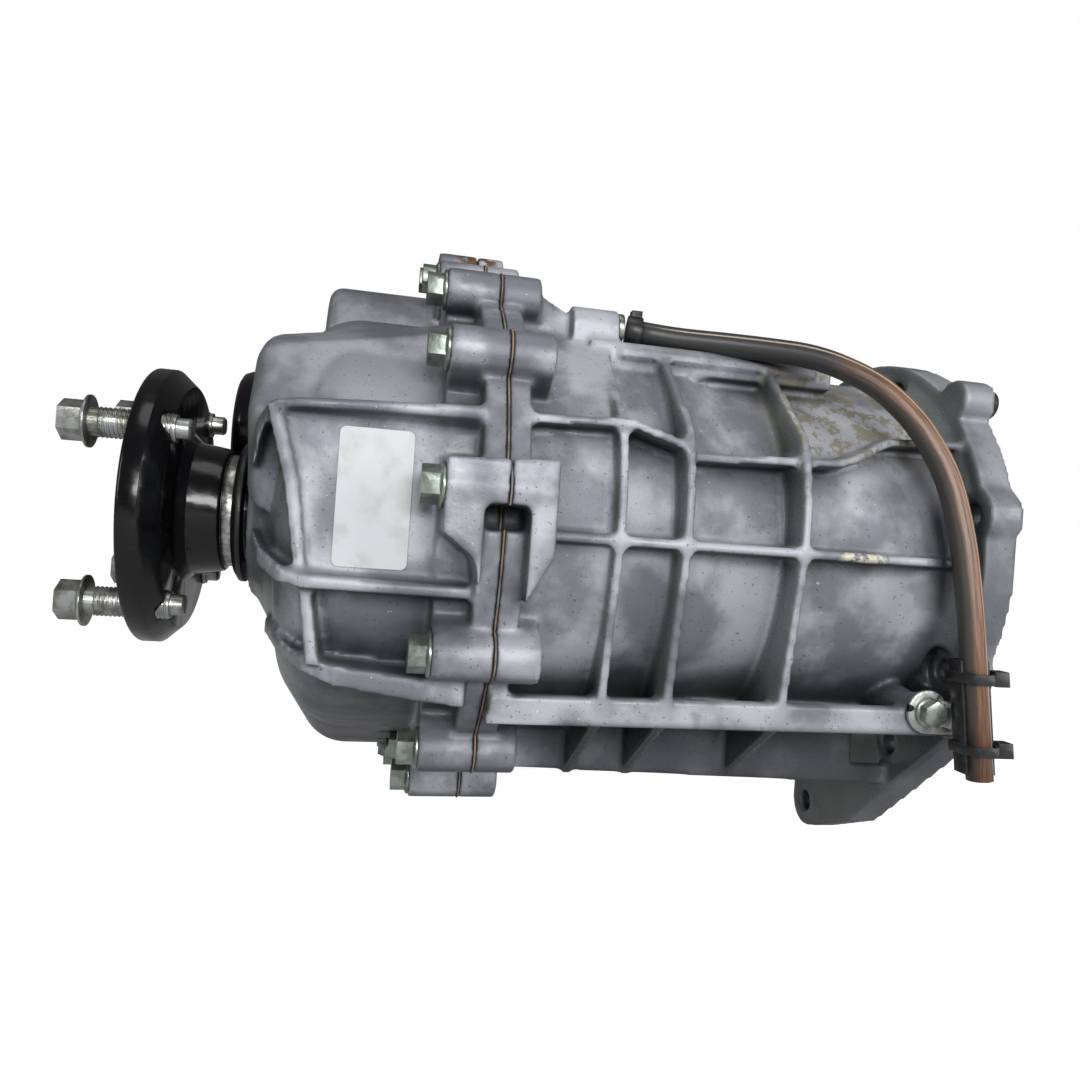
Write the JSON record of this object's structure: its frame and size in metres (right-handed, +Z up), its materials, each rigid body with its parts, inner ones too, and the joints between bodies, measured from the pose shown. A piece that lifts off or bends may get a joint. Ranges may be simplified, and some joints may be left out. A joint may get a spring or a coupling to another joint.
{
  "type": "transfer case",
  "caption": "Two-speed, chain-driven truck transfer case: ribbed cast housing with shafts, planetary reduction, chain drive, shift forks, output flanges and vent hose.",
  "frame": {"origin": "centre of the register bore on the face that mates with the transmission", "axes": "+X out of that face, towards the front of the vehicle; +Y to the chain and front-output side; +Z up"},
  "size_m": [0.4095, 0.3509, 0.3214],
  "materials": {
    "cast_aluminium": "rough cast",
    "sealant": "cured sealant",
    "zinc": "zinc plated",
    "machined_steel": "ground",
    "gear_steel": "cut and hardened",
    "fork_aluminium": "die cast",
    "flange_black": "gloss",
    "motor_black": "satin",
    "seal_rubber": "smooth",
    "hose_rubber": "aged",
    "black_plastic": "moulded",
    "label_white": "printed film, bare"
  },
  "bodies": {
    "case": {"front_case": "cast_aluminium", "rear_case": "cast_aluminium", "case_sealant": "sealant", "case_bolts": "zinc", "case_dowels": "machined_steel", "fill_plug": "zinc", "drain_plug": "zinc", "part_label": "label_white", "plate_plug": "seal_rubber", "vent_fitting": "zinc", "vent_hose": "hose_rubber", "hose_clamp": "black_plastic", "hose_channel": "black_plastic", "hose_ties": "black_plastic", "hose_bracket": "zinc", "hose_bracket_screw": "zinc", "rear_seal": "seal_rubber", "rear_bearing": "machined_steel", "oil_pump": "fork_aluminium", "drive_chain": "gear_steel", "shift_rail": "machined_steel", "shift_motor": "motor_black", "shift_motor_bolts": "zinc", "input_bearing": "machined_steel", "input_seal": "seal_rubber", "ring_gear": "gear_steel", "pocket_bearing": "machined_steel", "front_bearing": "machined_steel", "front_seal": "seal_rubber"},
    "output": {"main_shaft": "machined_steel", "rear_output_flange": "flange_black", "rear_flange_nut": "machined_steel", "flange_bolts": "zinc", "spacer_ring": "machined_steel", "dust_ring": "seal_rubber", "tone_ring": "gear_steel", "drive_sprocket": "gear_steel"},
    "front_output": {"front_output_shaft": "machined_steel", "front_output_flange": "flange_black", "front_flange_nut": "machined_steel", "driven_sprocket": "gear_steel"},
    "input": {"input_shaft": "machined_steel"},
    "carrier": {"planet_carrier": "gear_steel", "planet_pins": "machined_steel"},
    "range_collar": {"range_hub": "gear_steel"},
    "mode_collar_body": {"mode_collar": "gear_steel"},
    "range_fork_body": {"range_fork": "fork_aluminium"},
    "mode_fork_body": {"mode_fork": "fork_aluminium"},
    "cam": {"shift_cam": "machined_steel"},
    "planet_1": {"planet_gear_1": "gear_steel"},
    "planet_2": {"planet_gear_2": "gear_steel"},
    "planet_3": {"planet_gear_3": "gear_steel"},
    "planet_4": {"planet_gear_4": "gear_steel"}
  },
  "joints": [
    {"name": "rear_output_spin", "type": "hinge", "parent": "case", "child": "output", "pos_m": [-0.3, 0, 0], "axis": [1, 0, 0], "continuous": true},
    {"name": "input_spin", "type": "hinge", "parent": "case", "child": "input", "pos_m": [-0.15, 0, 0], "axis": [1, 0, 0], "continuous": true},
    {"name": "carrier_spin", "type": "hinge", "parent": "case", "child": "carrier", "pos_m": [-0.19, 0, 0], "axis": [1, 0, 0], "continuous": true},
    {"name": "front_output_spin", "type": "hinge", "parent": "case", "child": "front_output", "pos_m": [-0.22, 0.15, -0.085], "axis": [1, 0, 0], "continuous": true},
    {"name": "planet_1_spin", "type": "hinge", "parent": "carrier", "child": "planet_1", "pos_m": [-0.181, 0.056, 0], "axis": [1, 0, 0], "continuous": true},
    {"name": "planet_2_spin", "type": "hinge", "parent": "carrier", "child": "planet_2", "pos_m": [-0.181, 0, 0.056], "axis": [1, 0, 0], "continuous": true},
    {"name": "planet_3_spin", "type": "hinge", "parent": "carrier", "child": "planet_3", "pos_m": [-0.181, -0.056, 0], "axis": [1, 0, 0], "continuous": true},
    {"name": "planet_4_spin", "type": "hinge", "parent": "carrier", "child": "planet_4", "pos_m": [-0.181, 0, -0.056], "axis": [1, 0, 0], "continuous": true},
    {"name": "range_fork_slide", "type": "slide", "parent": "case", "child": "range_fork_body", "axis": [1, 0, 0], "range_m": [-0.008, 0]},
    {"name": "range_collar_slide", "type": "slide", "parent": "output", "child": "range_collar", "axis": [1, 0, 0], "range_m": [-0.008, 0]},
    {"name": "shift_cam_turn", "type": "hinge", "parent": "case", "child": "cam", "pos_m": [-0.27, 0.08, 0.042], "axis": [1, 0, 0], "range_deg": [0, 90.1]},
    {"name": "mode_fork_slide", "type": "slide", "parent": "case", "child": "mode_fork_body", "axis": [1, 0, 0], "range_m": [0, 0.005]},
    {"name": "mode_collar_slide", "type": "slide", "parent": "output", "child": "mode_collar_body", "axis": [1, 0, 0], "range_m": [0, 0.005]}
  ],
  "couplings": [
    {"joint": "input_spin", "follows": "rear_output_spin", "ratio": 1},
    {"joint": "carrier_spin", "follows": "rear_output_spin", "ratio": 0.375},
    {"joint": "front_output_spin", "follows": "rear_output_spin", "ratio": 1},
    {"joint": "planet_1_spin", "follows": "rear_output_spin", "ratio": -1.875},
    {"joint": "planet_2_spin", "follows": "rear_output_spin", "ratio": -1.875},
    {"joint": "planet_3_spin", "follows": "rear_output_spin", "ratio": -1.875},
    {"joint": "planet_4_spin", "follows": "rear_output_spin", "ratio": -1.875},
    {"joint": "range_collar_slide", "follows": "range_fork_slide", "ratio": 1},
    {"joint": "shift_cam_turn", "follows": "mode_fork_slide", "rad_per_m": 314},
    {"joint": "mode_collar_slide", "follows": "mode_fork_slide", "ratio": 1}
  ]
}
